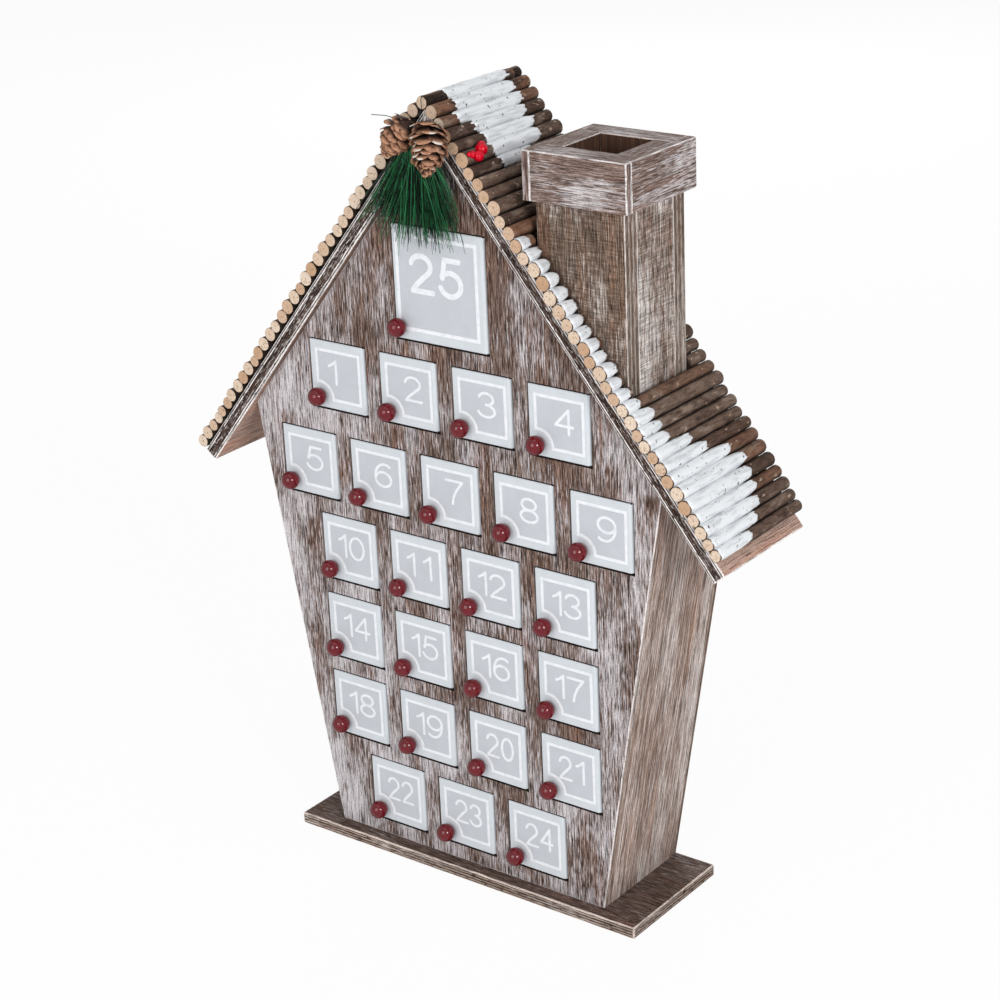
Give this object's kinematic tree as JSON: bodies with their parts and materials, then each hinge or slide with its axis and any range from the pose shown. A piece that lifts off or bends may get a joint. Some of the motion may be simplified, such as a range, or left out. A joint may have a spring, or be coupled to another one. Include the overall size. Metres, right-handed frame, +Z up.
{
  "type": "wooden advent calendar",
  "caption": "House-shaped wooden advent calendar on a base plate, with numbered hinged doors over small compartments, a twig roof, a chimney and a pine trim.",
  "frame": {"origin": "middle of the base plate's underside, which rests on the table", "axes": "+Z up, +Y from the doors towards the back panel, +X to the right as seen from the front"},
  "size_m": [0.3597, 0.1064, 0.4549],
  "materials": {
    "brown_wood": "brown stain, whitewashed and rubbed",
    "back_board": "plain thin board",
    "inner_wood": "bare plywood",
    "bark": "bark with pale cut ends",
    "pin_steel": "plain",
    "pine": "dry cone scales",
    "grey_paint": "light grey paint",
    "red_paint": "dark red gloss paint",
    "white_paint": "white paint lines, numbers and snow",
    "needle_green": "green needles",
    "berry_red": "bright red gloss"
  },
  "bodies": {
    "house": {"base_plate": "brown_wood", "front_panel": "brown_wood", "back_panel": "back_board", "side_panels": "brown_wood", "compartment_grid": "inner_wood", "roof_boards": "brown_wood", "roof_twigs": "bark", "chimney": "brown_wood", "hinge_pins": "pin_steel", "pine_trim": "pine"},
    "door_01": {"door_01": "grey_paint", "knob_01": "red_paint"},
    "door_02": {"door_02": "grey_paint", "knob_02": "red_paint"},
    "door_03": {"door_03": "grey_paint", "knob_03": "red_paint"},
    "door_04": {"door_04": "grey_paint", "knob_04": "red_paint"},
    "door_05": {"door_05": "grey_paint", "knob_05": "red_paint"},
    "door_06": {"door_06": "grey_paint", "knob_06": "red_paint"},
    "door_07": {"door_07": "grey_paint", "knob_07": "red_paint"},
    "door_08": {"door_08": "grey_paint", "knob_08": "red_paint"},
    "door_09": {"door_09": "grey_paint", "knob_09": "red_paint"},
    "door_10": {"door_10": "grey_paint", "knob_10": "red_paint"},
    "door_11": {"door_11": "grey_paint", "knob_11": "red_paint"},
    "door_12": {"door_12": "grey_paint", "knob_12": "red_paint"},
    "door_13": {"door_13": "grey_paint", "knob_13": "red_paint"},
    "door_14": {"door_14": "grey_paint", "knob_14": "red_paint"},
    "door_15": {"door_15": "grey_paint", "knob_15": "red_paint"},
    "door_16": {"door_16": "grey_paint", "knob_16": "red_paint"},
    "door_17": {"door_17": "grey_paint", "knob_17": "red_paint"},
    "door_18": {"door_18": "grey_paint", "knob_18": "red_paint"},
    "door_19": {"door_19": "grey_paint", "knob_19": "red_paint"},
    "door_20": {"door_20": "grey_paint", "knob_20": "red_paint"},
    "door_21": {"door_21": "grey_paint", "knob_21": "red_paint"},
    "door_22": {"door_22": "grey_paint", "knob_22": "red_paint"},
    "door_23": {"door_23": "grey_paint", "knob_23": "red_paint"},
    "door_24": {"door_24": "grey_paint", "knob_24": "red_paint"},
    "door_25": {"door_25": "grey_paint", "knob_25": "red_paint"}
  },
  "joints": [
    {"name": "door_01_hinge", "type": "hinge", "parent": "house", "child": "door_01", "pos_m": [-0.0582, -0.0297, 0.2893], "axis": [0, 0, 1], "range_deg": [0, 100]},
    {"name": "door_02_hinge", "type": "hinge", "parent": "house", "child": "door_02", "pos_m": [-0.0082, -0.0297, 0.2893], "axis": [0, 0, 1], "range_deg": [0, 100]},
    {"name": "door_03_hinge", "type": "hinge", "parent": "house", "child": "door_03", "pos_m": [0.0418, -0.0297, 0.2893], "axis": [0, 0, 1], "range_deg": [0, 100]},
    {"name": "door_04_hinge", "type": "hinge", "parent": "house", "child": "door_04", "pos_m": [0.0918, -0.0297, 0.2893], "axis": [0, 0, 1], "range_deg": [0, 100]},
    {"name": "door_05_hinge", "type": "hinge", "parent": "house", "child": "door_05", "pos_m": [-0.0832, -0.0297, 0.2345], "axis": [0, 0, 1], "range_deg": [0, 100]},
    {"name": "door_06_hinge", "type": "hinge", "parent": "house", "child": "door_06", "pos_m": [-0.0332, -0.0297, 0.2345], "axis": [0, 0, 1], "range_deg": [0, 100]},
    {"name": "door_07_hinge", "type": "hinge", "parent": "house", "child": "door_07", "pos_m": [0.0168, -0.0297, 0.2345], "axis": [0, 0, 1], "range_deg": [0, 100]},
    {"name": "door_08_hinge", "type": "hinge", "parent": "house", "child": "door_08", "pos_m": [0.0668, -0.0297, 0.2345], "axis": [0, 0, 1], "range_deg": [0, 100]},
    {"name": "door_09_hinge", "type": "hinge", "parent": "house", "child": "door_09", "pos_m": [0.1168, -0.0297, 0.2345], "axis": [0, 0, 1], "range_deg": [0, 100]},
    {"name": "door_10_hinge", "type": "hinge", "parent": "house", "child": "door_10", "pos_m": [-0.0582, -0.0297, 0.185], "axis": [0, 0, 1], "range_deg": [0, 100]},
    {"name": "door_11_hinge", "type": "hinge", "parent": "house", "child": "door_11", "pos_m": [-0.0082, -0.0297, 0.185], "axis": [0, 0, 1], "range_deg": [0, 100]},
    {"name": "door_12_hinge", "type": "hinge", "parent": "house", "child": "door_12", "pos_m": [0.0418, -0.0297, 0.185], "axis": [0, 0, 1], "range_deg": [0, 100]},
    {"name": "door_13_hinge", "type": "hinge", "parent": "house", "child": "door_13", "pos_m": [0.0918, -0.0297, 0.185], "axis": [0, 0, 1], "range_deg": [0, 100]},
    {"name": "door_14_hinge", "type": "hinge", "parent": "house", "child": "door_14", "pos_m": [-0.0582, -0.0297, 0.1355], "axis": [0, 0, 1], "range_deg": [0, 100]},
    {"name": "door_15_hinge", "type": "hinge", "parent": "house", "child": "door_15", "pos_m": [-0.0082, -0.0297, 0.1355], "axis": [0, 0, 1], "range_deg": [0, 100]},
    {"name": "door_16_hinge", "type": "hinge", "parent": "house", "child": "door_16", "pos_m": [0.0418, -0.0297, 0.1355], "axis": [0, 0, 1], "range_deg": [0, 100]},
    {"name": "door_17_hinge", "type": "hinge", "parent": "house", "child": "door_17", "pos_m": [0.0918, -0.0297, 0.1355], "axis": [0, 0, 1], "range_deg": [0, 100]},
    {"name": "door_18_hinge", "type": "hinge", "parent": "house", "child": "door_18", "pos_m": [-0.0582, -0.0297, 0.086], "axis": [0, 0, 1], "range_deg": [0, 100]},
    {"name": "door_19_hinge", "type": "hinge", "parent": "house", "child": "door_19", "pos_m": [-0.0082, -0.0297, 0.086], "axis": [0, 0, 1], "range_deg": [0, 100]},
    {"name": "door_20_hinge", "type": "hinge", "parent": "house", "child": "door_20", "pos_m": [0.0418, -0.0297, 0.086], "axis": [0, 0, 1], "range_deg": [0, 100]},
    {"name": "door_21_hinge", "type": "hinge", "parent": "house", "child": "door_21", "pos_m": [0.0918, -0.0297, 0.086], "axis": [0, 0, 1], "range_deg": [0, 100]},
    {"name": "door_22_hinge", "type": "hinge", "parent": "house", "child": "door_22", "pos_m": [-0.0332, -0.0297, 0.0365], "axis": [0, 0, 1], "range_deg": [0, 100]},
    {"name": "door_23_hinge", "type": "hinge", "parent": "house", "child": "door_23", "pos_m": [0.0168, -0.0297, 0.0365], "axis": [0, 0, 1], "range_deg": [0, 100]},
    {"name": "door_24_hinge", "type": "hinge", "parent": "house", "child": "door_24", "pos_m": [0.0668, -0.0297, 0.0365], "axis": [0, 0, 1], "range_deg": [0, 100]},
    {"name": "door_25_hinge", "type": "hinge", "parent": "house", "child": "door_25", "pos_m": [0.02805, -0.0297, 0.3514], "axis": [0, 0, 1], "range_deg": [0, 100]}
  ]
}
